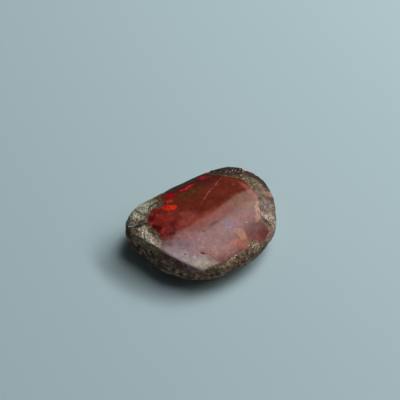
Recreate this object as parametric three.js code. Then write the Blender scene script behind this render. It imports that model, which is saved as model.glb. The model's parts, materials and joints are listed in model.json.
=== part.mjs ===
// A polished opal nodule: one solid stone, a rough rind below and a ground, domed face on top.
// Millimetres, +Z up. The origin is at the bottom centre of the stone's box, +X runs along its
// length towards the blunt end, and +Y towards its straight flank.
import * as THREE from 'three';
import { mergeVertices } from 'three/addons/utils/BufferGeometryUtils.js';

// ---- Driving dimensions ----

// The plan of the rough nodule at its widest level, seen from above: the distance from the hub,
// the upright line through the stone, to the rind. One value every 22.5 degrees, counterclockwise
// from +X, joined by a smooth closed curve.
const PLAN_RADII = [
  17.9, 16.5, 12.1, 9.7,
  9.3, 10.2, 13.3, 14.6,
  12.9, 13.0, 13.2, 13.5,
  13.9, 14.6, 15.9, 16.9,
];
const GIRDLE_HEIGHT = 4.0; // the widest level, above the flat base
const UPPER_REACH = 7.6; // how far the uncut nodule would rise above its widest level
const UPPER_FULLNESS = 2.6; // 2 is an ellipse, and more is boxier
const LOWER_REACH = 5.8; // how far it would reach below, were the base not sawn flat
const LOWER_FULLNESS = 2.2;

// The ground and polished face: a shallow dome, nearly a cylinder along the stone.
const CROWN_HEIGHT = 9.3; // its highest point, above the base
const CROWN_PEAK = new THREE.Vector2(3.0, 0.1); // where that is, from the hub
const CROWN_LONG_RADIUS = 77; // radius of curvature along the stone
const CROWN_CROSS_RADIUS = 26.5; // and across it
const CROWN_TURN = THREE.MathUtils.degToRad(2); // from +X to the dome's long direction

// The mesh: a gridded box, whose top becomes the polished face and whose sides become the rind.
const FACE_CELLS = 24; // along each side of the polished face and of the base
const RIND_CELLS = 10; // from the base up to the edge of the polished face
const STEEPEST = THREE.MathUtils.degToRad(60); // the rind's edge lies below this elevation

// ---- The stone's surface, measured from the hub ----

// The plan radius in the direction `angle`, by a closed Catmull-Rom curve through PLAN_RADII.
function planRadius(angle) {
  const count = PLAN_RADII.length;
  const turns = angle / (2 * Math.PI);
  const place = (turns - Math.floor(turns)) * count;
  const step = Math.floor(place);
  const t = place - step;
  const [before, start, end, after] = [-1, 0, 1, 2].map((k) => PLAN_RADII[(step + k + count) % count]);
  const leave = (end - before) / 2;
  const arrive = (after - start) / 2;
  const cubic = 2 * start - 2 * end + leave + arrive;
  const square = 3 * end - 3 * start - 2 * leave - arrive;
  return ((cubic * t + square) * t + leave) * t + start;
}

// The point of the rough nodule's rind at an angle in plan and an elevation from the girdle.
function rindPoint(angle, elevation) {
  const reach = elevation > 0 ? UPPER_REACH : LOWER_REACH;
  const power = elevation > 0 ? UPPER_FULLNESS : LOWER_FULLNESS;
  const across = Math.cos(elevation);
  const up = Math.sin(elevation);
  const sum = (across / planRadius(angle)) ** power + (Math.abs(up) / reach) ** power;
  const distance = sum ** (-1 / power);
  return new THREE.Vector3(
    distance * across * Math.cos(angle),
    distance * across * Math.sin(angle),
    GIRDLE_HEIGHT + distance * up,
  );
}

// The height of the polished dome above the base.
function crownHeight(x, y) {
  const offset = new THREE.Vector2(x, y).sub(CROWN_PEAK).rotateAround(new THREE.Vector2(), -CROWN_TURN);
  return CROWN_HEIGHT - offset.x ** 2 / (2 * CROWN_LONG_RADIUS) - offset.y ** 2 / (2 * CROWN_CROSS_RADIUS);
}

// The elevation where the rind crosses zero of `above`, found by halving the range.
function elevationWhere(above, low, high) {
  let [under, over] = [low, high];
  for (let i = 0; i < 40; i += 1) {
    const middle = (under + over) / 2;
    if (above(middle) > 0) {
      over = middle;
    } else {
      under = middle;
    }
  }
  return (under + over) / 2;
}

// The elevations of the rind's lower end, on the base, and of its upper end, on the dome.
function rindEnds(angle) {
  const bottom = elevationWhere((elevation) => rindPoint(angle, elevation).z, -STEEPEST, 0);
  const aboveDome = (elevation) => {
    const point = rindPoint(angle, elevation);
    return point.z - crownHeight(point.x, point.y);
  };
  return { bottom, top: elevationWhere(aboveDome, bottom, STEEPEST) };
}

// ---- The mesh ----

// Where a point of the two-unit box goes. Squares round the box's axis become rings of even angles.
function stonePoint(corner) {
  const ring = Math.max(Math.abs(corner.x), Math.abs(corner.y));
  const angle = ringAngle(corner.x, corner.y);
  const { bottom, top } = rindEnds(angle);
  const level = (corner.z + 1) / 2;
  const rim = rindPoint(angle, THREE.MathUtils.lerp(bottom, top, level));
  if (level > 0 && level < 1) {
    return rim;
  }
  const [x, y] = [rim.x * ring, rim.y * ring];
  return new THREE.Vector3(x, y, level === 0 ? 0 : crownHeight(x, y));
}

// The angle in plan of a point of a square ring, each side of which is a quarter turn.
function ringAngle(x, y) {
  if (x === 0 && y === 0) {
    return 0;
  }
  if (Math.abs(x) >= Math.abs(y)) {
    return (y / x) * Math.PI / 4 + (x < 0 ? Math.PI : 0);
  }
  return Math.PI / 2 - (x / y) * Math.PI / 4 + (y < 0 ? Math.PI : 0);
}

function stoneGeometry() {
  const box = new THREE.BoxGeometry(2, 2, 2, FACE_CELLS, FACE_CELLS, RIND_CELLS);
  box.deleteAttribute('normal');
  box.deleteAttribute('uv');
  const geometry = mergeVertices(box, 1e-4);
  const position = geometry.getAttribute('position');
  for (let i = 0; i < position.count; i += 1) {
    const point = stonePoint(new THREE.Vector3().fromBufferAttribute(position, i));
    position.setXYZ(i, point.x, point.y, point.z);
  }
  geometry.computeBoundingBox();
  const middle = geometry.boundingBox.getCenter(new THREE.Vector3());
  geometry.translate(-middle.x, -middle.y, 0);
  geometry.computeVertexNormals();
  return geometry;
}

const stone = new THREE.Mesh(
  stoneGeometry(),
  new THREE.MeshStandardMaterial({ color: 0x63241c, roughness: 0.2, metalness: 0 }),
);
stone.name = 'opal';

const part = new THREE.Group();
part.name = 'opal_nodule';
part.add(stone);

export default part;
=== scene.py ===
"""A polished opal nodule: dark red opal with fire, in its own rough grey-brown rind."""

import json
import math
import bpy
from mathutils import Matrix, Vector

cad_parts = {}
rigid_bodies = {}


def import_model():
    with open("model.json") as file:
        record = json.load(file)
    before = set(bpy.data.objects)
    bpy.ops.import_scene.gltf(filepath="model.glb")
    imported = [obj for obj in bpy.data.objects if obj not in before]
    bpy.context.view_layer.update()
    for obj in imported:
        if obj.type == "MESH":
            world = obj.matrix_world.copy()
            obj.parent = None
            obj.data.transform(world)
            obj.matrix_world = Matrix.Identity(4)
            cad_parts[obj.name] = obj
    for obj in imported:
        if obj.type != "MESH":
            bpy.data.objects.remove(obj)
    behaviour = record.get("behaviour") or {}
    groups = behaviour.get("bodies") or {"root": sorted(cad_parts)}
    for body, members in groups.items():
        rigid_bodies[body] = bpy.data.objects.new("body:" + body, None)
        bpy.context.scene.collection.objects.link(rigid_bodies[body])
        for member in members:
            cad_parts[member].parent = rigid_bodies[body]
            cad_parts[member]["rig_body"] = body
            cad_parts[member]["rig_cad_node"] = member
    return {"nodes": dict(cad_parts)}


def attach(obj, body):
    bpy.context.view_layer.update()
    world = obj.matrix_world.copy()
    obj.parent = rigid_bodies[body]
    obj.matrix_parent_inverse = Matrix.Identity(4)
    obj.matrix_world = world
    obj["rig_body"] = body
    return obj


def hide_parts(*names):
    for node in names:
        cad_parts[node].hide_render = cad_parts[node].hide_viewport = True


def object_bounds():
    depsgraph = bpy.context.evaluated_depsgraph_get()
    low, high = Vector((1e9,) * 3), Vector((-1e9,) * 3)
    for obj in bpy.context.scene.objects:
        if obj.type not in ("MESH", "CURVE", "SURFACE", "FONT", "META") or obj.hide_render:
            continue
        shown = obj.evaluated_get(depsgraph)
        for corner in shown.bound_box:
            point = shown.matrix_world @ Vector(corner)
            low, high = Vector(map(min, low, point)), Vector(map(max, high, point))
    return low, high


bl_info = {
    "name": "Polished Opal Nodule",
    "version": (1, 0, 0),
    "blender": (4, 5, 0),
    "location": "3D View > Sidebar > Opal",
    "description": "Builds a polished opal nodule in its rind, and a small studio for it",
    "category": "Add Mesh",
}

from collections import namedtuple

import bpy
import numpy as np
from bpy.props import FloatProperty, FloatVectorProperty, PointerProperty
from mathutils import Vector, noise

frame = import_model()
CAD_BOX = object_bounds()

MM = 0.001
SOLID = "opal"
STONE = "opal_stone"

# ---- Where things are on the stone, in millimetres in the row frame ----

# The hub is the upright line that the nodule's plan is drawn round.
HUB = Vector((-2.09, 2.10))
DOME_PEAK = HUB + Vector((3.0, 0.1))
DOME_LONG_RADIUS = 77.0
DOME_CROSS_RADIUS = 26.5
DOME_TURN = math.radians(2)

# The seam between the opal and the rind, on the polished face, counterclockwise from the blunt
# end. Along the front-left the opal runs off the face, so the seam passes outside its edge there.
SEAM = (
    (10.9, 0.1), (11.0, 1.9), (10.8, 3.7), (10.0, 4.8), (8.6, 6.3), (7.6, 7.6), (6.3, 8.9),
    (5.6, 10.2), (0.0, 11.2), (-4.3, 10.5), (-5.4, 9.7), (-6.0, 8.1), (-6.9, 7.35), (-7.9, 7.9),
    (-9.1, 8.0), (-10.0, 7.3), (-11.2, 6.2), (-11.6, 5.1), (-11.5, 3.8), (-11.4, 2.1),
    (-11.7, 0.7), (-12.2, -0.7), (-13.8, -2.2), (-14.0, -5.0), (-11.5, -9.0), (-9.2, -10.4),
    (-7.4, -9.6), (-5.3, -10.15), (-2.8, -10.3), (0.0, -10.4), (1.6, -10.2), (2.5, -9.6),
    (3.5, -9.4), (4.4, -9.7), (4.9, -10.7), (6.5, -10.5), (7.9, -10.1), (8.3, -9.3), (8.15, -7.9),
    (8.15, -6.9), (8.6, -5.5), (9.5, -4.2), (10.4, -2.8), (10.9, -1.4),
)

# Colour patches in the opal. x and y are the middle, long and wide are half sizes, turn is in
# degrees, jagged is how much the outline follows the stone's mosaic, and soft is how wide its edge
# is, as a share of the half sizes.
Patch = namedtuple("Patch", "name x y long wide turn color jagged soft")

# The body's darker and paler parts, from the back to the front. Some pale ones along the front-left
# also hold painted sheen.
CLOUDS = (
    Patch("dark back", 2.6, 8.6, 6.0, 2.0, -12, (0.120, 0.024, 0.015), 0.2, 1.0),
    Patch("brown heart", -0.6, 6.4, 3.0, 1.5, -10, (0.155, 0.042, 0.016), 0.2, 1.2),
    Patch("olive smudge", 0.2, 6.6, 0.9, 0.35, 10, (0.140, 0.060, 0.026), 0.2, 1.2),
    Patch("green rim", 0.6, 10.6, 6.5, 1.2, -3, (0.060, 0.062, 0.048), 0.2, 0.5),
    Patch("middle glow", -5.8, 1.6, 3.2, 1.7, -15, (0.400, 0.075, 0.060), 0.4, 0.9),
    Patch("salmon band", -2.0, -1.1, 7.0, 1.4, 2, (0.385, 0.078, 0.048), 0.2, 0.9),
    # The mauve and blue-grey fields and both potches: paler opal, partly painted sheen.
    Patch("mauve field", -6.8, -4.6, 6.4, 3.0, -32, (0.480, 0.225, 0.215), 0.2, 0.9),
    Patch("pink field", 0.4, -5.2, 4.4, 2.5, -8, (0.355, 0.125, 0.115), 0.2, 1.0),
    Patch("blue-grey field", -9.6, -3.2, 2.8, 1.3, -38, (0.400, 0.245, 0.260), 0.2, 1.0),
    Patch("grey end", -11.9, -1.6, 1.5, 1.1, -60, (0.310, 0.190, 0.185), 0.3, 0.8),
    Patch("tan corner", 7.4, -2.0, 3.4, 2.4, -10, (0.295, 0.096, 0.038), 0.2, 0.9),
    Patch("rosy corner", 5.0, -4.3, 2.0, 1.2, -20, (0.330, 0.085, 0.065), 0.2, 1.0),
    Patch("salmon edge", -2.4, -8.7, 2.8, 1.0, -12, (0.485, 0.205, 0.170), 0.3, 0.9),
    Patch("rosy edge", -5.2, -7.6, 1.9, 0.8, -30, (0.530, 0.235, 0.205), 0.3, 1.2),
    Patch("rim potch", -10.6, -5.3, 4.0, 1.4, -50, (0.600, 0.460, 0.480), 0.3, 1.6),
    Patch("white potch", -7.9, -8.6, 2.6, 1.0, -38, (0.680, 0.590, 0.495), 0.3, 1.6),
    Patch("first red dash", -1.2, -2.75, 1.1, 0.34, -5, (0.190, 0.020, 0.018), 0.3, 0.9),
    Patch("second red dash", -4.2, -2.9, 0.8, 0.18, -15, (0.240, 0.035, 0.030), 0.3, 0.7),
    Patch("lilac spot", 2.2, -5.0, 1.0, 0.7, -20, (0.400, 0.120, 0.190), 0.3, 1.5),
    Patch("violet spot", 1.1, -4.0, 1.0, 0.8, -20, (0.300, 0.145, 0.215), 0.3, 1.5),
    Patch("white fleck", 1.2, -5.3, 0.14, 0.08, 10, (0.700, 0.550, 0.550), 0.0, 0.8),
    Patch("bright fleck", 5.1, -5.8, 0.20, 0.10, -60, (0.900, 0.650, 0.600), 0.0, 0.8),
    Patch("maroon end", 6.0, -8.0, 2.4, 1.8, -35, (0.260, 0.095, 0.080), 0.3, 0.8),
    Patch("deep maroon", 7.0, -9.2, 1.7, 0.8, 30, (0.190, 0.048, 0.040), 0.4, 1.4),
    Patch("salmon patch", 1.1, -8.9, 1.9, 1.15, -25, (0.600, 0.195, 0.135), 0.3, 0.8),
    Patch("orange patch", 2.4, -7.5, 1.5, 0.8, -76, (0.610, 0.280, 0.160), 0.4, 0.9),
    Patch("tan streak", 9.0, -4.1, 1.6, 0.36, 55, (0.590, 0.270, 0.135), 0.5, 0.6),
    Patch("lower tan streak", 7.8, -6.1, 1.0, 0.48, 50, (0.540, 0.250, 0.145), 0.5, 0.6),
    # The worn edge: pale wear along the front-left rim, brightened as a painted highlight.
    Patch("worn edge", -6.6, -10.0, 2.8, 0.34, -20, (0.600, 0.500, 0.360), 0.3, 0.6),
    Patch("pink rim", 10.4, 0.2, 3.0, 0.6, 97, (0.440, 0.130, 0.095), 0.3, 0.9),
    Patch("warm spot", 8.4, 3.2, 0.36, 0.24, 0, (0.320, 0.070, 0.050), 0.3, 0.9),
    Patch("pale vein", 3.6, 4.5, 4.4, 0.13, 26, (0.430, 0.100, 0.074), 0.1, 0.9),
)

# The play of colour, and the darker bay that much of it lies in. It goes over the clouds.
FIRE = (
    Patch("bay", -9.3, 4.0, 3.5, 4.2, 0, (0.290, 0.034, 0.027), 0.4, 0.6),
    Patch("bay flash", -8.9, 4.3, 0.9, 0.5, -36, (0.420, 0.030, 0.024), 0.8, 0.5),
    Patch("ember", -10.3, 1.8, 0.6, 0.5, 10, (0.360, 0.045, 0.050), 0.8, 0.5),
    Patch("second ember", -7.1, 3.4, 0.7, 0.4, -20, (0.400, 0.045, 0.030), 0.8, 0.5),
    Patch("bay shade", -10.9, 3.4, 0.9, 1.1, 0, (0.100, 0.008, 0.004), 0.7, 0.8),
    Patch("corner shade", -10.4, 6.4, 1.1, 0.8, -40, (0.150, 0.010, 0.005), 0.5, 0.8),
    Patch("lower shade", -8.6, 0.9, 0.9, 0.5, -10, (0.235, 0.042, 0.040), 0.8, 0.8),
    Patch("crimson flash", -3.6, 8.7, 1.2, 0.75, -25, (0.430, 0.005, 0.022), 0.5, 0.35),
    Patch("orange flash", -5.6, 5.75, 1.35, 0.75, -36, (0.950, 0.050, 0.016), 0.5, 0.25),
    Patch("red wing", -6.5, 6.4, 0.8, 0.45, -36, (0.800, 0.030, 0.016), 0.4, 0.3),
    Patch("orange chip", -4.7, 7.3, 0.55, 0.35, 10, (0.560, 0.055, 0.014), 0.5, 0.35),
    Patch("red streak", 0.3, 8.4, 1.9, 0.30, -2, (0.850, 0.018, 0.030), 0.3, 0.35),
    Patch("magenta streak", 4.9, 8.7, 1.4, 0.45, -10, (0.380, 0.020, 0.042), 0.4, 0.6),
    Patch("gold thread", -6.9, 4.6, 0.5, 0.10, -60, (0.300, 0.090, 0.010), 0.2, 0.8),
)

# Patches of the rind, as seen from above. They fade out down the wall.
RIND = (
    Patch("pale shoulder", -10.4, 9.6, 3.2, 1.9, 22, (0.560, 0.535, 0.385), 0.4, 0.6),
    Patch("sandy end", -13.3, 8.1, 1.4, 1.2, 0, (0.265, 0.220, 0.165), 0.4, 0.8),
    Patch("olive middle", -12.9, 6.6, 1.8, 0.7, 12, (0.170, 0.140, 0.080), 0.4, 0.6),
    Patch("cream shoulder", -13.3, 3.1, 3.0, 1.0, 84, (0.700, 0.620, 0.470), 0.4, 0.5),
    Patch("pink point", -12.8, 0.3, 1.4, 0.9, 80, (0.580, 0.430, 0.340), 0.4, 0.7),
    Patch("olive seam", -12.0, 3.3, 1.4, 0.5, 95, (0.165, 0.115, 0.060), 0.6, 0.5),
    Patch("brown cap", -15.5, 7.7, 2.6, 1.3, 76, (0.055, 0.044, 0.031), 0.3, 0.4),
    Patch("dark back", 10.4, 7.7, 5.8, 2.1, -30, (0.060, 0.030, 0.018), 0.4, 0.6),
    Patch("dark corner", 14.6, 2.0, 4.2, 1.15, -78, (0.064, 0.035, 0.023), 0.4, 0.5),
    Patch("olive inner", 12.5, 1.0, 2.8, 1.1, -76, (0.280, 0.195, 0.115), 0.4, 0.6),
    Patch("tan inner", 12.0, -1.8, 1.5, 0.9, -80, (0.290, 0.205, 0.140), 0.4, 0.6),
    Patch("rusty patch", 13.2, -2.2, 0.9, 0.6, -70, (0.600, 0.320, 0.215), 0.6, 0.8),
    Patch("grey side", 11.1, -4.6, 2.0, 1.3, -70, (0.380, 0.275, 0.230), 0.4, 0.6),
    Patch("white side", 10.0, -7.0, 3.0, 0.9, -60, (0.520, 0.385, 0.300), 0.5, 0.7),
    Patch("gold patch", 3.2, -10.1, 1.2, 0.8, -20, (0.360, 0.235, 0.140), 0.5, 0.6),
    Patch("tan edge", 8.7, -9.5, 2.2, 0.65, 42, (0.345, 0.250, 0.190), 0.5, 0.6),
    Patch("front strip", -2.5, -10.9, 3.6, 0.7, 8, (0.340, 0.215, 0.135), 0.5, 0.6),
    Patch("front shade", -0.6, -11.3, 1.9, 0.7, 0, (0.170, 0.092, 0.054), 0.4, 0.7),
    Patch("olive wall", -14.9, 2.0, 3.9, 0.9, -80, (0.330, 0.240, 0.160), 0.4, 0.8),
    # Painted shade along the outer edge of the left tip, where it turns away from the light.
    Patch("dark left rim", -13.1, 10.4, 3.0, 0.5, 42, (0.100, 0.085, 0.070), 0.3, 0.6),
    Patch("coral flake", 13.9, 5.5, 0.9, 0.45, -42, (0.760, 0.420, 0.280), 0.5, 0.7),
)

# Pits in the polished face. long and wide are half sizes, turn is in degrees.
Pit = namedtuple("Pit", "x y long wide turn depth")

PITS = (
    Pit(-6.9, -6.85, 0.55, 0.15, -42, 0.13),
    Pit(-9.9, -5.1, 0.26, 0.12, -30, 0.08),
    Pit(-8.4, -6.7, 0.14, 0.10, 10, 0.05),
    Pit(4.6, 3.4, 0.12, 0.10, 0, 0.04),
    Pit(-2.9, 4.0, 0.22, 0.08, 0, 0.03),
    Pit(1.2, -3.5, 0.16, 0.08, 60, 0.04),
)

# Cracks, as points along each, with half width and depth. Those on the face are (x, y) points.
Crack = namedtuple("Crack", "path width depth")

FACE_CRACKS = (
    Crack(
        ((-5.5, 10.0), (-6.6, 9.2), (-7.6, 9.5), (-8.6, 9.4), (-9.3, 8.7), (-9.9, 7.6)), 0.34, 0.20
    ),
    Crack(((-11.4, 5.5), (-12.2, 6.2), (-13.0, 6.1), (-13.8, 6.6), (-14.5, 7.3)), 0.20, 0.24),
    Crack(((-11.1, 10.4), (-11.2, 9.4), (-10.8, 8.3), (-10.3, 7.7)), 0.13, 0.22),
    Crack(((-12.2, 6.4), (-12.6, 7.6), (-13.3, 8.4)), 0.12, 0.18),
    Crack(((-12.2, 3.6), (-12.5, 2.2), (-12.5, 0.8), (-12.9, -0.3)), 0.26, 0.12),
    Crack(((-13.2, 4.4), (-13.9, 3.6), (-14.3, 2.4)), 0.12, 0.16),
    Crack(((12.2, 3.4), (11.6, 1.4), (11.9, -0.6)), 0.14, 0.12),
)

# Those in the wall are (x, y, z) points.
WALL_CRACKS = (
    Crack(
        ((-14.7, 1.0, 5.7), (-14.3, 0.2, 6.7), (-14.1, -1.2, 7.0), (-13.5, -2.1, 7.4)), 0.15, 0.36
    ),
    Crack(
        ((-14.0, -2.0, 6.6), (-13.4, -3.6, 6.1), (-12.2, -5.9, 6.2), (-11.2, -7.3, 5.8)), 0.14, 0.20
    ),
    Crack(((-15.5, 6.2, 4.0), (-15.3, 4.2, 4.8), (-14.9, 2.2, 4.6)), 0.16, 0.22),
    Crack(((-9.6, -8.8, 4.6), (-7.6, -10.2, 4.2), (-5.0, -11.3, 4.4)), 0.15, 0.20),
    Crack(((13.0, -5.6, 4.0), (14.6, -2.0, 3.6), (15.4, 1.6, 4.2)), 0.16, 0.24),
    Crack(((2.0, 11.6, 5.2), (-1.4, 11.7, 4.4), (-4.6, 11.6, 4.8)), 0.15, 0.22),
)

# Where the rind's pale crystals, painted bright as glints, crowd together, as ellipses on the face.
Spot = namedtuple("Spot", "x y long wide turn")

GLINTS = (
    Spot(-13.2, 8.3, 1.5, 0.9, 40),
    Spot(-13.1, 1.5, 1.8, 0.5, 82),
    Spot(3.5, -10.2, 1.6, 0.8, -18),
    Spot(-1.0, -10.5, 2.2, 0.35, 0),
    Spot(10.6, -2.6, 1.8, 0.5, -70),
    Spot(9.9, -6.8, 2.8, 0.8, -60),
    Spot(11.2, 6.4, 2.0, 0.6, -38),
)

# Parts of the rim that lie elsewhere than on the solid: the directions from the hub between which
# they are, in degrees, how far they move, and how far along the surface the pull is felt.
Pull = namedtuple("Pull", "start end x y reach")

RIM_PULLS = (
    Pull(203, 216, 0.50, 0.30, 4.5),
    Pull(294, 342, 0.30, -0.42, 4.5),
    Pull(140, 172, -0.18, 0.13, 3.5),
)

# Flats and hollows on the wall: the way each faces, in degrees round the stone from the blunt end
# and up from level, and how deep it cuts.
Facet = namedtuple("Facet", "around up cut")

FACETS = (
    Facet(168, -38, 0.62), Facet(140, -25, 0.40), Facet(212, -22, 0.35), Facet(236, 12, 0.22),
    Facet(262, -30, 0.40), Facet(290, -30, 0.18), Facet(322, -52, 0.24), Facet(350, -14, 0.16),
    Facet(18, -34, 0.35), Facet(40, 14, 0.20), Facet(64, -20, 0.35), Facet(92, -36, 0.45),
    Facet(116, 6, 0.16), Facet(184, 10, 0.14),
)

# ---- Thresholds for the shape, in millimetres unless they say otherwise ----

MERGE_DISTANCE = 0.002
SHARP_ANGLE = math.radians(18)
# How firmly each group of sharp edges is kept when the blank is rounded, from 0 to 1.
CREASES = {"base": 0.9, "crisp rim": 0.95, "back rim": 0.5, "soft rim": 0.2}
ROUNDING = 2
# Places up to this height are the base, and cracks start at the next one.
BASE_TOP = 0.02
CRACK_FLOOR = 0.05
# Places this near the dome are moved back onto it after the rim is drawn in.
DOME_REACH = 0.02
# The mesh is cut finer below this depth, and above it outside a line this far inside the seam,
# and round each pit by this much more than its half length.
FACE_DEPTH = 0.1
SEAM_MARGIN = 0.5
PIT_MARGIN = 0.35
# Each pair is where a smooth change starts and ends. Depths are measured from the dome down.
SEATED = (0.01, 0.06)
ROUGH_DEPTHS = (0.04, 0.4)
CUT_PAST_SEAM = (0.1, 0.6)
WALL_DEPTHS = (0.2, 1.2)
PITTED_DEPTHS = (0.05, 0.5)
WORN_PAST_SEAM = (-0.05, 0.35)
# Cracks drawn on the face reach down the wall to this depth.
FACE_CRACK_DEPTH = 0.6
# How much of its width a crack loses towards its ends, as a share.
CRACK_TAPER = 0.75
# Which ragged courses the cracks take. Blender's noise starts from the clock until it is seeded,
# and with this seed each run gives the same mesh.
CRACK_SEED = 1
# Cracks and pits this deep show their painted shade at its darkest.
DEEP_CRACK = 0.3
DEEP_PIT = 0.12
# How much lower than the opal the softer rind is worn.
RIND_WEAR = 0.07

# ---- Colours and settings of the finer marks, and of the studio ----

RIM_SKIN = (0.205, 0.070, 0.064)
RIM_SMOKE = (0.480, 0.290, 0.275)
BACK_SKIN = (0.060, 0.062, 0.050)
END_SKIN = (0.160, 0.028, 0.018)
# The front-left rim's pale wear, brightened as a painted highlight.
RIM_WEAR_AND_HIGHLIGHT = (0.700, 0.600, 0.480)
# The pits' own dark maroon, deepened by painted shade.
PIT_MAROON_AND_SHADE = (0.070, 0.008, 0.014)
# Painted shade in the cracks.
CRACK_SHADE = (0.022, 0.015, 0.009)
DARK_GRAIN = (0.022, 0.015, 0.010)
RUSTY_GRAIN = (0.50, 0.16, 0.06)
# Pale crystals painted brighter than their own colour: painted glints.
WARM_CRYSTAL_GLINT = (0.95, 0.80, 0.58)
WHITE_CRYSTAL_GLINT = (1.00, 0.94, 0.84)
OPAL_IOR = 1.37
POLISH_ROUGHNESS = 0.09
CRYSTAL_ROUGHNESS = 0.12
CUT_ROUGHNESS = 0.55
WALL_ROUGHNESS = 0.75
# In millimetres.
GRIT_HEIGHT = 0.14
RIPPLE_HEIGHT = 0.006
# A patch's half size in z, so large that it reaches all the way down.
ANY_HEIGHT = 1e6

# In metres.
FLOOR_SIZE = 3.0
FLOOR_ROUGHNESS = 0.75
# The softbox's sides, as shares of its height above the floor.
SOFTBOX_NEAR, SOFTBOX_FAR = -1.1, 0.58
SOFTBOX_LEFT, SOFTBOX_RIGHT = 0.0, 1.3
ROOM_COLOR = (0.9, 1.0, 1.1, 1.0)
ROOM_STRENGTH = 0.02
CAMERA_TARGET = Vector((*(HUB + Vector((0.8, -0.4))), 4.5))
CAMERA_LENS = 100
CAMERA_SENSOR = 36
CAMERA_CLIP_START = 0.01
# How far the view is shifted up, as a share of its width, so that the stone sits low in it.
CAMERA_SHIFT = 0.059


class OpalStoneSettings(bpy.types.PropertyGroup):
    """Sizes and colours of the stone."""

    lump_height: FloatProperty(
        name="Lump height",
        description="How far the rind swells and sinks in broad lumps",
        default=0.5 * MM,
        unit="LENGTH",
    )
    grain_height: FloatProperty(
        name="Grain height",
        description="How far the rind's grains stand out",
        default=0.16 * MM,
        unit="LENGTH",
    )
    pit_depth: FloatProperty(
        name="Pit depth",
        description="How deep the rind's pits are where the wheel has cut it",
        default=0.12 * MM,
        unit="LENGTH",
    )
    body_color: FloatVectorProperty(
        name="Body colour",
        description="The opal's dark red body",
        default=(0.208, 0.034, 0.019),
        subtype="COLOR",
        size=3,
    )
    front_color: FloatVectorProperty(
        name="Front colour",
        description="The opal's body towards the front, where it is paler and more purple",
        default=(0.340, 0.100, 0.088),
        subtype="COLOR",
        size=3,
    )
    cut_rind_color: FloatVectorProperty(
        name="Cut rind colour",
        description="The rind where the wheel has cut it, round the opal",
        default=(0.185, 0.125, 0.070),
        subtype="COLOR",
        size=3,
    )
    sand_color: FloatVectorProperty(
        name="Sand colour",
        description="The sandy parts of the uncut rind, on the stone's wall",
        default=(0.395, 0.250, 0.168),
        subtype="COLOR",
        size=3,
    )
    patina_color: FloatVectorProperty(
        name="Patina colour",
        description="The dark brown skin on the stone's wall",
        default=(0.122, 0.058, 0.034),
        subtype="COLOR",
        size=3,
    )


class OpalStageSettings(bpy.types.PropertyGroup):
    """The floor, the softbox and the camera."""

    floor_color: FloatVectorProperty(
        name="Floor colour",
        description="The pale sheet under the stone",
        default=(0.61, 0.80, 0.845),
        subtype="COLOR",
        size=3,
    )
    softbox_height: FloatProperty(
        name="Softbox height",
        description="Height of the softbox above the floor",
        default=0.60,
        unit="LENGTH",
    )
    softbox_radiance: FloatProperty(
        name="Softbox radiance",
        description="How bright the softbox's face is, where 1 shows as pure white",
        default=11.2,
    )
    camera_azimuth: FloatProperty(
        name="Camera azimuth",
        description="Which side the camera looks from",
        default=math.radians(-36),
        subtype="ANGLE",
    )
    camera_elevation: FloatProperty(
        name="Camera elevation",
        description="How far above the horizon the camera is",
        default=math.radians(50),
        subtype="ANGLE",
    )
    camera_distance: FloatProperty(
        name="Camera distance",
        description="From the camera to the point that it looks at",
        default=0.230,
        unit="LENGTH",
    )


# ---- Small helpers for meshes ----


def only(thing):
    """Selects one object and makes it the active one."""
    bpy.ops.object.select_all(action="DESELECT")
    thing.select_set(True)
    bpy.context.view_layer.objects.active = thing


def points_of(thing):
    """The vertices' places, in millimetres, one row each."""
    places = np.empty(len(thing.data.vertices) * 3)
    thing.data.vertices.foreach_get("co", places)
    return places.reshape(-1, 3) / MM


def normals_of(thing):
    """The vertices' normals, one row each."""
    normals = np.empty(len(thing.data.vertices) * 3)
    thing.data.vertices.foreach_get("normal", normals)
    return normals.reshape(-1, 3)


def set_points(thing, places):
    """Moves the vertices to places in millimetres."""
    thing.data.vertices.foreach_set("co", (places * MM).ravel())
    thing.data.update()


def set_attribute(thing, name, values):
    """Stores one number for each vertex, for later steps and the material to read."""
    attribute = thing.data.attributes.new(name, "FLOAT", "POINT")
    attribute.data.foreach_set("value", values.astype(np.float32))


def attribute_of(thing, name):
    """The numbers that set_attribute has stored."""
    values = np.empty(len(thing.data.vertices), np.float32)
    thing.data.attributes[name].data.foreach_get("value", values)
    return values.astype(float)


def set_weights(thing, name, weights):
    """Fills a vertex group with one weight for each vertex."""
    group = thing.vertex_groups.new(name=name)
    for index in np.flatnonzero(weights > 0.001):
        group.add((int(index),), float(weights[index]), "REPLACE")


def smoothstep(low, high, values):
    """A smooth step from 0 to 1 as the values go from low to high."""
    t = np.clip((values - low) / (high - low), 0.0, 1.0)
    return t * t * (3.0 - 2.0 * t)


def smooth_outline(corners, steps=8):
    """A closed curve through the corners, as points, by Catmull-Rom."""
    knots = np.array(corners, float)
    before, after, beyond = np.roll(knots, 1, 0), np.roll(knots, -1, 0), np.roll(knots, -2, 0)
    parts = []
    for t in np.arange(steps) / steps:
        straight = (after - before) * t
        bend = (2 * before - 5 * knots + 4 * after - beyond) * t**2
        twist = (3 * knots - before - 3 * after + beyond) * t**3
        parts.append(0.5 * (2 * knots + straight + bend + twist))
    return np.stack(parts, 1).reshape(-1, 2)


def distance_to_line(places, start, end):
    """How far each place is from the line between two points, and the share of it passed."""
    edge = end - start
    offset = places - start
    share = np.clip(offset @ edge / (edge @ edge), 0.0, 1.0)
    return np.linalg.norm(offset - share[:, None] * edge, axis=1), share


def wander(places, size, reach):
    """The places shifted by a smooth noise of the given size, by up to the given reach."""
    shift = [noise.noise_vector(Vector(place) / size) for place in places]
    return places + np.array(shift) * reach


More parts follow.
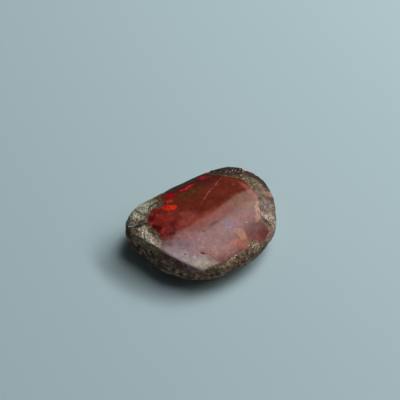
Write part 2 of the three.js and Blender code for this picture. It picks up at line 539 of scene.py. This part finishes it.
def signed_distance(places, outline):
    """How far each place lies inside the outline, negative outside it."""
    nearest = np.full(len(places), np.inf)
    inside = np.zeros(len(places), bool)
    for start, end in zip(outline, np.roll(outline, -1, 0)):
        nearest = np.minimum(nearest, distance_to_line(places, start, end)[0])
        rise = end[1] - start[1]
        if abs(rise) > 1e-12:
            straddles = (start[1] > places[:, 1]) != (end[1] > places[:, 1])
            crossing = start[0] + (places[:, 1] - start[1]) / rise * (end[0] - start[0])
            inside ^= straddles & (places[:, 0] < crossing)
    return np.where(inside, nearest, -nearest)


# ---- The stone's shape ----


def dome(x, y):
    """The polished dome's height above the base, in millimetres."""
    away_x, away_y = x - DOME_PEAK.x, y - DOME_PEAK.y
    along = away_x * math.cos(DOME_TURN) + away_y * math.sin(DOME_TURN)
    across = away_y * math.cos(DOME_TURN) - away_x * math.sin(DOME_TURN)
    peak = CAD_BOX[1].z / MM
    return peak - along**2 / (2 * DOME_LONG_RADIUS) - across**2 / (2 * DOME_CROSS_RADIUS)


def copy_solid():
    """A copy of the CAD solid, with its triangles merged into quads. The solid stays as it is."""
    only(frame["nodes"][SOLID])
    bpy.ops.object.duplicate(linked=False)
    stone = bpy.context.view_layer.objects.active
    bpy.ops.object.parent_clear(type="CLEAR_KEEP_TRANSFORM")
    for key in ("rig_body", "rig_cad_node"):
        del stone[key]
    stone.name = STONE
    stone.data.name = STONE
    stone.data.materials.clear()
    bpy.ops.object.mode_set(mode="EDIT")
    bpy.ops.mesh.select_all(action="SELECT")
    bpy.ops.mesh.remove_doubles(threshold=MERGE_DISTANCE * MM)
    bpy.ops.mesh.tris_convert_to_quads(
        face_threshold=math.pi, shape_threshold=math.pi, topology_influence=2.0
    )
    bpy.ops.object.mode_set(mode="OBJECT")
    return stone


def select_sharp(stone, chosen):
    """Selects the sharp edges whose middle, in millimetres, is chosen."""
    places = points_of(stone)
    bpy.ops.object.mode_set(mode="EDIT")
    bpy.ops.mesh.select_all(action="DESELECT")
    bpy.ops.mesh.select_mode(type="EDGE")
    bpy.ops.mesh.edges_select_sharp(sharpness=SHARP_ANGLE)
    bpy.ops.object.mode_set(mode="OBJECT")
    corners = np.zeros(len(places), dtype=bool)
    for edge in stone.data.edges:
        middle = (places[edge.vertices[0]] + places[edge.vertices[1]]) / 2
        edge.select = bool(edge.select and chosen(middle))
        if edge.select:
            corners[list(edge.vertices)] = True
    stone.data.vertices.foreach_set("select", corners)
    stone.data.polygons.foreach_set("select", np.zeros(len(stone.data.polygons), dtype=bool))


def edge_group(middle):
    """Which entry of CREASES a sharp edge belongs to. The rim stays crisp along the front-left."""
    x, y, z = middle
    if z <= BASE_TOP:
        return "base"
    if x < -3 and y < 8:
        return "crisp rim"
    return "back rim" if y > 6 else "soft rim"


def crease_edges(stone, group, weight):
    select_sharp(stone, lambda middle: edge_group(middle) == group)
    bpy.ops.object.mode_set(mode="EDIT")
    bpy.ops.transform.edge_crease(value=weight)
    bpy.ops.mesh.select_mode(type="VERT")
    bpy.ops.object.mode_set(mode="OBJECT")


def heading(middle):
    """Which way a place lies from the hub, in degrees from 0 to 360."""
    return math.degrees(math.atan2(middle[1] - HUB.y, middle[0] - HUB.x)) % 360


def pull_rim(stone):
    """Moves parts of the rim, so that the wall leans as it should. The face stays on the dome."""
    places = points_of(stone)
    on_face = dome(places[:, 0], places[:, 1]) - places[:, 2] < DOME_REACH
    for pull in RIM_PULLS:
        select_sharp(
            stone, lambda middle: middle[2] > BASE_TOP and pull.start < heading(middle) < pull.end
        )
        bpy.ops.object.mode_set(mode="EDIT")
        bpy.ops.transform.translate(
            value=(pull.x * MM, pull.y * MM, 0.0),
            use_proportional_edit=True,
            use_proportional_connected=True,
            proportional_edit_falloff="SMOOTH",
            proportional_size=pull.reach * MM,
        )
        bpy.ops.mesh.select_mode(type="VERT")
        bpy.ops.object.mode_set(mode="OBJECT")
    places = points_of(stone)
    places[on_face, 2] = dome(places[on_face, 0], places[on_face, 1])
    set_points(stone, places)


def round_blank(stone):
    """Rounds the faceted copy: crisp at the base and along the front-left, soft elsewhere."""
    for group, weight in CREASES.items():
        crease_edges(stone, group, weight)
    pull_rim(stone)
    bpy.ops.object.modifier_add(type="SUBSURF")
    rounding = stone.modifiers[-1]
    rounding.levels = ROUNDING
    rounding.render_levels = ROUNDING
    bpy.ops.object.modifier_apply(modifier=rounding.name)


def refine_rind(stone):
    """Cuts faces outside the opal and round its pits in four, but not those of the base."""
    places = points_of(stone)
    seam = signed_distance(places[:, :2], smooth_outline(SEAM))
    depth = dome(places[:, 0], places[:, 1]) - places[:, 2]
    fine = (places[:, 2] > BASE_TOP) & ((seam < SEAM_MARGIN) | (depth > FACE_DEPTH))
    for pit in PITS:
        away = np.hypot(places[:, 0] - pit.x, places[:, 1] - pit.y)
        fine |= (away < pit.long + PIT_MARGIN) & (depth < FACE_DEPTH)
    bpy.ops.object.mode_set(mode="EDIT")
    bpy.ops.mesh.select_all(action="DESELECT")
    bpy.ops.object.mode_set(mode="OBJECT")
    stone.data.vertices.foreach_set("select", fine)
    bpy.ops.object.mode_set(mode="EDIT")
    bpy.ops.mesh.select_mode(type="FACE")
    bpy.ops.mesh.select_mode(type="VERT")
    bpy.ops.mesh.subdivide(number_cuts=1, smoothness=0)
    bpy.ops.object.mode_set(mode="OBJECT")


def map_stone(stone):
    """Seats the face on the dome, and stores each vertex's depth below it and place by the seam."""
    places = points_of(stone)
    gap = dome(places[:, 0], places[:, 1]) - places[:, 2]
    places[:, 2] += gap * (1 - smoothstep(*SEATED, gap))
    set_points(stone, places)
    depth = dome(places[:, 0], places[:, 1]) - places[:, 2]
    seam = signed_distance(places[:, :2], smooth_outline(SEAM))
    set_attribute(stone, "depth_mm", depth)
    set_attribute(stone, "seam_mm", seam)
    above_base = places[:, 2] > BASE_TOP
    rough = smoothstep(*ROUGH_DEPTHS, depth) * above_base
    cut_rind = smoothstep(*CUT_PAST_SEAM, -seam) * (1 - rough) * above_base
    set_weights(stone, "rough rind", rough)
    set_weights(stone, "cut rind", cut_rind)


def cut_facets(stone):
    """Presses flats into the wall, each by moving what lies beyond its plane back onto it."""
    places = points_of(stone)
    wall = smoothstep(*WALL_DEPTHS, attribute_of(stone, "depth_mm"))
    for facet in FACETS:
        around, up = math.radians(facet.around), math.radians(facet.up)
        level = math.cos(up)
        outward = np.array([math.cos(around) * level, math.sin(around) * level, math.sin(up)])
        reach = places @ outward
        beyond = np.maximum(reach - (reach.max() - facet.cut), 0.0)
        places -= (beyond * wall)[:, None] * outward
    places[:, 2] = np.maximum(places[:, 2], 0.0)
    set_points(stone, places)


def displace(stone, name, kind, size, height, group, middle=0.5, flat=1.0, **settings):
    """Swells the stone along its normals by a noise, within a vertex group.

    Size is the noise's, in millimetres. Height is in metres, middle is the noise's level that moves
    nothing, and flat squashes the noise in z. The settings are the noise's own.
    """
    pattern = bpy.data.textures.new(name, kind)
    pattern.noise_scale = size * MM
    for key, value in settings.items():
        setattr(pattern, key, value)
    bpy.ops.object.select_all(action="DESELECT")
    bpy.ops.object.empty_add(scale=(1.0, 1.0, flat))
    ruler = bpy.context.view_layer.objects.active
    only(stone)
    bpy.ops.object.modifier_add(type="DISPLACE")
    swell = stone.modifiers[-1]
    swell.texture = pattern
    swell.texture_coords = "OBJECT"
    swell.texture_coords_object = ruler
    swell.strength = height
    swell.mid_level = middle
    swell.vertex_group = group
    bpy.ops.object.modifier_apply(modifier=swell.name)
    only(ruler)
    bpy.ops.object.delete()
    only(stone)


def roughen(stone, settings):
    """Lumps, ledges, grains and pits in the rind. The opal's polished face stays smooth."""
    lump, grain = settings.lump_height, settings.grain_height
    displace(stone, "broad lumps", "CLOUDS", 4.5, lump, "rough rind", noise_depth=1)
    displace(stone, "ledges", "CLOUDS", 1.8, lump * 0.55, "rough rind", flat=0.45, noise_depth=3)
    displace(stone, "nodules", "STUCCI", 0.9, -lump * 0.30, "rough rind", turbulence=1.0)
    displace(stone, "grains", "VORONOI", 0.45, -grain, "rough rind", middle=0.35)
    displace(
        stone, "hollows", "CLOUDS", 0.8, -settings.pit_depth, "cut rind", middle=0.0,
        noise_depth=2, contrast=3.5, intensity=0.55,
    )
    places = points_of(stone)
    places[:, 2] = np.maximum(places[:, 2], 0.0)
    set_points(stone, places)


def crack_share(places, path, width):
    """How deep in a crack each place is, from 1 along its middle to 0. It thins at its ends."""
    knots = np.array(path)
    share = np.zeros(len(places))
    pieces = len(knots) - 1
    for index in range(pieces):
        gap, passed = distance_to_line(places, knots[index], knots[index + 1])
        progress = (index + passed) / pieces
        taper = 1.0 - CRACK_TAPER * np.abs(2 * progress - 1) ** 3
        share = np.maximum(share, taper * np.exp(-((gap / (width * taper)) ** 2)))
    return share


def crack_stone(stone):
    """Sinks the cracks, with ragged courses, into the rind."""
    noise.seed_set(CRACK_SEED)
    places, normals = points_of(stone), normals_of(stone)
    ragged = wander(places, size=1.3, reach=0.30)
    ragged = wander(ragged, size=0.45, reach=0.12)
    on_face = attribute_of(stone, "depth_mm") < FACE_CRACK_DEPTH
    sunk = np.zeros(len(places))
    for crack in FACE_CRACKS:
        share = crack_share(ragged[:, :2], crack.path, crack.width) * on_face
        sunk = np.maximum(sunk, share * crack.depth)
    for crack in WALL_CRACKS:
        share = crack_share(ragged, crack.path, crack.width)
        sunk = np.maximum(sunk, share * crack.depth)
    sunk *= places[:, 2] > CRACK_FLOOR
    set_points(stone, places - normals * sunk[:, None])
    set_attribute(stone, "crack", sunk / DEEP_CRACK)


def spot_share(places, spot):
    """How near each place is to a spot's middle: 1 there, fading out beyond its ellipse."""
    angle = math.radians(spot.turn)
    away_x, away_y = places[:, 0] - spot.x, places[:, 1] - spot.y
    along = away_x * math.cos(angle) + away_y * math.sin(angle)
    across = away_y * math.cos(angle) - away_x * math.sin(angle)
    return np.exp(-((along / spot.long) ** 2) - (across / spot.wide) ** 2)


def pit_face(stone):
    """Small open pits in the polished opal, and the softer rind worn a little lower than it.

    Also stores where the crystals crowd together, which the material reads.
    """
    places = points_of(stone)
    seam = attribute_of(stone, "seam_mm")
    on_face = 1 - smoothstep(*PITTED_DEPTHS, attribute_of(stone, "depth_mm"))
    shares = np.zeros(len(places))
    for pit in PITS:
        share = spot_share(places, pit) * on_face
        places[:, 2] -= share * pit.depth
        shares = np.maximum(shares, share * min(1.0, pit.depth / DEEP_PIT))
    places[:, 2] -= RIND_WEAR * smoothstep(*WORN_PAST_SEAM, -seam) * on_face
    set_points(stone, places)
    set_attribute(stone, "pit", shares)
    glints = [spot_share(places, spot) for spot in GLINTS]
    set_attribute(stone, "glint", np.max(glints, axis=0))


def shape_stone(settings):
    """The finished stone's mesh, made from a copy of the CAD solid."""
    stone = copy_solid()
    round_blank(stone)
    refine_rind(stone)
    map_stone(stone)
    cut_facets(stone)
    roughen(stone, settings)
    crack_stone(stone)
    pit_face(stone)
    only(stone)
    bpy.ops.object.shade_smooth()
    return stone


# ---- Small helpers for materials ----


def new_material(name):
    """A material with an empty node tree, and the helper that adds nodes to it."""
    material = bpy.data.materials.new(name)
    material.use_nodes = True
    material.node_tree.nodes.clear()
    return material, Paint(material.node_tree)


class Paint:
    """Adds nodes to one tree. Its methods mostly return the socket out of the new node."""

    def __init__(self, tree):
        self.tree = tree

    def node(self, kind, inputs, **settings):
        """A new node. An input is a socket to link to, or the value to set."""
        made = self.tree.nodes.new("ShaderNode" + kind)
        for key, value in settings.items():
            setattr(made, key, value)
        for key, value in inputs.items():
            if isinstance(value, bpy.types.NodeSocket):
                self.tree.links.new(value, made.inputs[key])
            else:
                made.inputs[key].default_value = value
        return made

    def place(self):
        """The place on the stone, in millimetres."""
        spot = self.node("TexCoord", {}).outputs["Object"]
        return self.vector("SCALE", spot, Scale=1 / MM)

    def attribute(self, name):
        return self.node("Attribute", {}, attribute_name=name).outputs["Fac"]

    def math(self, operation, *values):
        return self.node("Math", dict(enumerate(values)), operation=operation).outputs[0]

    def times(self, first, second):
        return self.math("MULTIPLY", first, second)

    def vector(self, operation, *values, **named):
        inputs = {**dict(enumerate(values)), **named}
        made = self.node("VectorMath", inputs, operation=operation)
        return made.outputs["Value" if operation == "LENGTH" else "Vector"]

    def split(self, vector):
        return self.node("SeparateXYZ", {0: vector}).outputs

    def noise(self, where, scale, detail, roughness):
        """Smooth noise, of so many swells to the millimetre."""
        inputs = {"Vector": where, "Scale": scale, "Detail": detail, "Roughness": roughness}
        return self.node("TexNoise", inputs).outputs

    def jitter(self, where, scale, detail, roughness, reach):
        """The places shifted by a noise, by up to half the reach either way along each axis."""
        drift = self.noise(where, scale, detail, roughness)["Color"]
        shift = self.vector("SUBTRACT", drift, (0.5, 0.5, 0.5))
        return self.vector("MULTIPLY_ADD", shift, reach, where)

    def cells(self, where, scale, randomness=1.0):
        """A mosaic, of so many cells to the millimetre."""
        inputs = {"Vector": where, "Scale": scale, "Randomness": randomness}
        return self.node("TexVoronoi", inputs).outputs

    def step(self, value, low, high, start=0.0, end=1.0):
        """A smooth step from start to end as the value goes from low to high."""
        inputs = {"Value": value, "From Min": low, "From Max": high, "To Min": start, "To Max": end}
        return self.node("MapRange", inputs, interpolation_type="SMOOTHSTEP").outputs["Result"]

    def mix(self, share, first, second):
        """The first colour, giving way to the second as the share goes from 0 to 1."""
        inputs = {0: share, 6: tint(first), 7: tint(second)}
        return self.node("Mix", inputs, data_type="RGBA", clamp_factor=True).outputs[2]

    def blend(self, share, first, second):
        """As mix, for plain numbers."""
        inputs = {0: share, 2: first, 3: second}
        return self.node("Mix", inputs, data_type="FLOAT", clamp_factor=True).outputs[0]

    def bump(self, height, distance, normal=None):
        """Height is a number of millimetres times distance."""
        inputs = {"Height": height, "Distance": distance * MM, "Strength": 1.0}
        if normal is not None:
            inputs["Normal"] = normal
        return self.node("Bump", inputs).outputs[0]


def tint(color):
    """A colour as a socket takes it."""
    if isinstance(color, bpy.types.NodeSocket):
        return color
    return (*color, 1.0)


# ---- The stone's finish ----


def patch_share(paint, where, mosaic, patch):
    """How much of a colour patch shows: 1 well inside its ellipse and 0 well outside."""
    mixed = paint.node("Mix", {0: patch.jagged, 4: where, 5: mosaic}, data_type="VECTOR")
    inputs = {
        "Vector": mixed.outputs[1],
        "Location": (patch.x, patch.y, 0.0),
        "Rotation": (0.0, 0.0, math.radians(patch.turn)),
        "Scale": (patch.long, patch.wide, ANY_HEIGHT),
    }
    local = paint.node("Mapping", inputs, vector_type="TEXTURE").outputs[0]
    return paint.step(paint.vector("LENGTH", local), 1.0 + patch.soft / 2, 1.0 - patch.soft / 2)


def lay_patches(paint, color, patches, where, mosaic):
    """The colour with the patches laid over it, one after another."""
    for patch in patches:
        color = paint.mix(patch_share(paint, where, mosaic, patch), color, patch.color)
    return color


def opal_color(paint, where, settings):
    """The opal's colour: dark red, with fire patches behind and paler clouds in front, some partly
    painted sheen.
    """
    warped = paint.jitter(where, 0.55, 3.0, 0.6, (1.5, 1.5, 0.0))
    cell = paint.cells(warped, 1.15, randomness=0.9)
    small_cell = paint.cells(warped, 2.6, randomness=0.9)
    x, y, _ = paint.split(where)
    color = paint.mix(paint.step(y, -0.5, -4.5), settings.body_color, settings.front_color)
    color = lay_patches(paint, color, CLOUDS + FIRE, warped, cell["Position"])

    # Each cell has its own tone, strongly so in the bay and faintly elsewhere.
    tone = paint.split(cell["Color"])[0]
    small_tone = paint.split(small_cell["Color"])[0]
    bay = paint.times(paint.step(x, -4.5, -7.5), paint.step(y, -1.0, 0.5))
    mosaic = paint.math("MULTIPLY_ADD", small_tone, 0.4, 0.5)
    mosaic = paint.math("MULTIPLY_ADD", tone, 0.6, mosaic)
    mosaic = paint.blend(paint.math("MULTIPLY_ADD", bay, 0.85, 0.15), 1.0, mosaic)

    clouds = paint.noise(where, 0.8, 3.0, 0.55)["Fac"]
    mottle = paint.step(clouds, 0.3, 0.7, 0.82, 1.18)
    flecks = paint.noise(where, 2.4, 2.0, 0.6)["Fac"]
    mottle = paint.times(mottle, paint.step(flecks, 0.32, 0.68, 0.88, 1.12))
    return paint.vector("SCALE", color, Scale=paint.times(mosaic, mottle))


def skin_color(paint, where):
    """The opal's colour just below the rim, where it shows in the wall."""
    x, y, _ = paint.split(where)
    smoke = paint.noise(where, 0.8, 4.0, 0.65)["Fac"]
    skin = paint.mix(paint.step(smoke, 0.42, 0.66), RIM_SKIN, RIM_SMOKE)
    skin = paint.mix(paint.step(y, 2.0, 5.0), skin, BACK_SKIN)
    return paint.mix(paint.step(x, 0.0, 4.0), skin, END_SKIN)


def rind_crystals(paint, grain, ragged, speckle, shape):
    """Where the rind's crystals painted bright as glints are: small ones all over, and chunks where
    they crowd.
    """
    crowd = paint.attribute("glint")
    pick = paint.split(grain["Color"])[0]
    rare = paint.blend(crowd, 0.955, 0.66)
    bright = paint.step(paint.math("SUBTRACT", pick, rare), 0.0, 0.02)
    big = paint.cells(ragged, 1.9)
    luck = paint.times(paint.split(big["Color"])[0], crowd)
    lucky = paint.step(luck, 0.34, 0.38)
    chunk = paint.step(paint.math("MULTIPLY_ADD", speckle, 0.5, big["Distance"]), 0.60, 0.50)
    return paint.math("MAXIMUM", paint.times(bright, shape), paint.times(lucky, chunk))


def rind_color(paint, where, settings):
    """The rind's colour, with painted glints on its crystals, and where its bright crystals are."""
    height = paint.split(where)[2]
    depth = paint.attribute("depth_mm")
    blotch = paint.noise(where, 0.95, 3.0, 0.6)["Fac"]
    speckle = paint.noise(where, 4.5, 3.0, 0.65)["Fac"]

    # The wall is sandy where the patina has worn off, and towards its foot.
    wall = paint.mix(paint.step(blotch, 0.40, 0.66), settings.patina_color, settings.sand_color)
    foot = paint.step(paint.math("MULTIPLY_ADD", blotch, 3.0, height), 4.2, 2.6, 0.0, 0.6)
    wall = paint.mix(foot, wall, settings.sand_color)

    warped = paint.jitter(where, 0.7, 3.0, 0.6, (2.0, 2.0, 0.0))
    mosaic = paint.cells(warped, 1.5, randomness=0.9)["Position"]
    color = lay_patches(paint, settings.cut_rind_color, RIND, warped, mosaic)
    edge = paint.math("MULTIPLY_ADD", blotch, 1.4, depth)
    color = paint.mix(paint.step(edge, 2.7, 1.5), wall, color)

    ragged = paint.jitter(where, 4.0, 2.0, 0.6, (0.45, 0.45, 0.45))
    grain = paint.cells(ragged, 2.6)
    pick, hue, tone = paint.split(grain["Color"])
    shape = paint.step(grain["Distance"], 0.46, 0.34)
    lumps = paint.step(blotch, 0.34, 0.64, 0.65, 1.22)
    grains = paint.times(paint.step(speckle, 0.3, 0.7, 0.45, 1.65), paint.blend(tone, 0.70, 1.34))
    color = paint.vector("SCALE", color, Scale=paint.times(lumps, grains))

    crystal = rind_crystals(paint, grain, ragged, speckle, shape)
    # Painted glints: the crystals are painted near white, fading down the wall.
    glow = paint.mix(hue, WARM_CRYSTAL_GLINT, WHITE_CRYSTAL_GLINT)
    fade = paint.step(depth, 1.2, 0.4, 0.35, 0.95)
    color = paint.mix(paint.times(crystal, fade), color, glow)
    dark_grain = paint.times(paint.step(pick, 0.20, 0.18), shape)
    color = paint.mix(paint.times(dark_grain, 0.7), color, DARK_GRAIN)
    rusty_grain = paint.times(paint.step(hue, 0.95, 0.96), shape)
    color = paint.mix(paint.times(rusty_grain, 0.7), color, RUSTY_GRAIN)
    # Painted shade in the cracks, darkest where they sink deepest.
    shade = paint.step(paint.attribute("crack"), 0.08, 0.8, 0.0, 0.9)
    return paint.mix(shade, color, CRACK_SHADE), crystal


def surface_normal(paint, where, polished):
    """The rind's grit, and the slight ripple that polishing has left in the opal."""
    rough = paint.math("SUBTRACT", 1.0, polished)
    grain = paint.cells(where, 2.5)["Distance"]
    grit = paint.noise(where, 5.0, 4.0, 0.65)["Fac"]
    grit = paint.times(paint.math("MULTIPLY_ADD", grain, -0.9, grit), rough)
    ripple = paint.times(paint.noise(where, 1.1, 2.0, 0.5)["Fac"], polished)
    return paint.bump(ripple, RIPPLE_HEIGHT, paint.bump(grit, GRIT_HEIGHT))


def finish_stone(settings):
    """The stone's material: opal inside the seam and in the upper wall there, rind elsewhere."""
    material, paint = new_material("opal and rind")
    where = paint.place()
    seam = paint.attribute("seam_mm")
    depth = paint.attribute("depth_mm")
    ragged = paint.math("SUBTRACT", paint.noise(where, 1.6, 4.0, 0.65)["Fac"], 0.5)
    inside = paint.step(paint.math("MULTIPLY_ADD", ragged, 1.5, seam), -0.14, 0.12)
    band = paint.step(paint.math("MULTIPLY_ADD", ragged, 3.0, depth), 1.9, 1.3)
    opal = paint.times(inside, band)

    stone = opal_color(paint, where, settings)
    front_left = paint.step(paint.split(where)[0], -2.0, -5.0, 0.0, 0.8)
    # Just below the front-left rim: pale wear, brightened as a painted highlight.
    worn = paint.times(paint.step(depth, 0.03, 0.08), front_left)
    stone = paint.mix(worn, stone, RIM_WEAR_AND_HIGHLIGHT)
    stone = paint.mix(paint.step(depth, 0.14, 0.24), stone, skin_color(paint, where))
    # The pits: their dark maroon, with painted shade that deepens with the pit.
    stone = paint.mix(paint.step(paint.attribute("pit"), 0.2, 0.6), stone, PIT_MAROON_AND_SHADE)
    rind, crystal = rind_color(paint, where, settings)

    polished = paint.times(opal, paint.step(depth, 0.16, 0.06))
    rind_roughness = paint.blend(paint.step(depth, 0.5, 0.15), WALL_ROUGHNESS, CUT_ROUGHNESS)
    rind_roughness = paint.blend(crystal, rind_roughness, CRYSTAL_ROUGHNESS)
    shader = paint.node(
        "BsdfPrincipled",
        {
            "Base Color": paint.mix(opal, rind, stone),
            "Roughness": paint.blend(polished, rind_roughness, POLISH_ROUGHNESS),
            "IOR": OPAL_IOR,
            "Normal": surface_normal(paint, where, polished),
        },
    )
    paint.node("OutputMaterial", {"Surface": shader.outputs[0]})
    return material


# ---- The operators and the panel ----


class OPAL_OT_stone(bpy.types.Operator):
    """Shapes the opal nodule from its CAD solid and gives it its finish."""

    bl_idname = "opal.stone"
    bl_label = "Opal Nodule"

    def execute(self, context):
        settings = context.scene.opal_stone
        stone = shape_stone(settings)
        stone.data.materials.append(finish_stone(settings))
        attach(stone, "root")
        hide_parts(SOLID)
        return {"FINISHED"}


def make_floor(settings):
    bpy.ops.object.select_all(action="DESELECT")
    bpy.ops.mesh.primitive_plane_add(size=FLOOR_SIZE)
    floor = bpy.context.view_layer.objects.active
    floor.name = "floor"
    material, paint = new_material("pale paper")
    inputs = {"Base Color": tint(settings.floor_color), "Roughness": FLOOR_ROUGHNESS}
    shader = paint.node("BsdfPrincipled", inputs)
    paint.node("OutputMaterial", {"Surface": shader.outputs[0]})
    floor.data.materials.append(material)


def softbox_share(paint, across, along):
    """How bright the softbox is at a place on its face, in shares of its width and its depth.

    It is brightest beyond the blunt end, and its far edge runs askew.
    """
    depth = paint.math("SUBTRACT", along, paint.step(across, 0.29, 0.65, 0.0, 0.11))
    edge = paint.step(depth, 0.905, 0.875)

    left = paint.step(across, 0.02, 0.32)
    place = paint.node("CombineXYZ", {0: across, 1: along, 2: 0.0}).outputs[0]
    away = paint.vector("SUBTRACT", place, (0.56, 0.49, 0.0))
    away = paint.vector("LENGTH", paint.vector("MULTIPLY", away, (3.2, 4.2, 0.0)))
    dim_spot = paint.step(away, 0.37, 1.0, 0.11, 0.42)
    front = paint.step(along, 0.38, 0.655)
    back = paint.step(depth, 0.69, 0.80, 1.0, 0.5)
    overhead = paint.times(paint.times(left, dim_spot), paint.times(front, back))

    front = paint.step(along, 0.33, 0.46, 0.45, 1.0)
    back = paint.step(along, 0.75, 0.87, 1.0, 0.3)
    beyond = paint.times(paint.step(across, 0.66, 0.75), paint.times(front, back))
    return paint.times(edge, paint.math("MAXIMUM", overhead, beyond))


def make_softbox(settings):
    """One large softbox, from overhead to well beyond the blunt end."""
    height = settings.softbox_height
    left, right = SOFTBOX_LEFT * height, SOFTBOX_RIGHT * height
    near, far = SOFTBOX_NEAR * height, SOFTBOX_FAR * height
    width, depth = right - left, far - near
    middle = ((left + right) / 2, (near + far) / 2, height)
    bpy.ops.object.light_add(type="AREA", location=middle)
    softbox = bpy.context.view_layer.objects.active
    softbox.name = "softbox"
    lamp = softbox.data
    lamp.shape = "RECTANGLE"
    lamp.size = width
    lamp.size_y = depth
    # The energy of a face that gives off this radiance all over, before its nodes dim it.
    lamp.energy = settings.softbox_radiance * math.pi * width * depth
    lamp.use_nodes = True
    paint = Paint(lamp.node_tree)
    across, along, _ = paint.split(paint.node("TexCoord", {}).outputs["UV"])
    emission = paint.tree.nodes["Emission"]
    paint.tree.links.new(softbox_share(paint, across, along), emission.inputs["Strength"])


def make_world():
    """Dim light from all round, as in a room."""
    world = bpy.data.worlds.new("dim room")
    bpy.context.scene.world = world
    world.use_nodes = True
    backdrop = world.node_tree.nodes["Background"]
    backdrop.inputs["Color"].default_value = ROOM_COLOR
    backdrop.inputs["Strength"].default_value = ROOM_STRENGTH


def make_camera(settings):
    azimuth, elevation = settings.camera_azimuth, settings.camera_elevation
    back = Vector((
        math.sin(azimuth) * math.cos(elevation),
        -math.cos(azimuth) * math.cos(elevation),
        math.sin(elevation),
    ))
    bpy.ops.object.camera_add()
    camera = bpy.context.view_layer.objects.active
    camera.name = "camera"
    camera.data.lens = CAMERA_LENS
    camera.data.sensor_width = CAMERA_SENSOR
    camera.data.shift_y = CAMERA_SHIFT
    camera.data.clip_start = CAMERA_CLIP_START
    camera.location = CAMERA_TARGET * MM + back * settings.camera_distance
    camera.rotation_mode = "QUATERNION"
    camera.rotation_quaternion = (-back).to_track_quat("-Z", "Y")
    bpy.context.scene.camera = camera


class OPAL_OT_stage(bpy.types.Operator):
    """Lays the pale floor, hangs the softbox and sets up the camera."""

    bl_idname = "opal.stage"
    bl_label = "Stage"

    def execute(self, context):
        settings = context.scene.opal_stage
        make_floor(settings)
        make_softbox(settings)
        make_world()
        make_camera(settings)
        context.scene.view_settings.view_transform = "Standard"
        return {"FINISHED"}


class OPAL_PT_panel(bpy.types.Panel):
    """Lists the stone and the stage in the sidebar."""

    bl_idname = "OPAL_PT_panel"
    bl_label = "Opal"
    bl_category = "Opal"
    bl_space_type = "VIEW_3D"
    bl_region_type = "UI"

    def draw(self, context):
        for name, operator in (("opal_stone", "opal.stone"), ("opal_stage", "opal.stage")):
            settings = getattr(context.scene, name)
            self.layout.operator(operator)
            for key in settings.__annotations__:
                self.layout.prop(settings, key)


CLASSES = (OpalStoneSettings, OpalStageSettings, OPAL_OT_stone, OPAL_OT_stage, OPAL_PT_panel)


def register():
    for each in CLASSES:
        bpy.utils.register_class(each)
    bpy.types.Scene.opal_stone = PointerProperty(type=OpalStoneSettings)
    bpy.types.Scene.opal_stage = PointerProperty(type=OpalStageSettings)


def unregister():
    del bpy.types.Scene.opal_stage
    del bpy.types.Scene.opal_stone
    for each in reversed(CLASSES):
        bpy.utils.unregister_class(each)


def main():
    register()
    bpy.ops.opal.stone()
    bpy.ops.opal.stage()


if __name__ == "__main__":
    main()
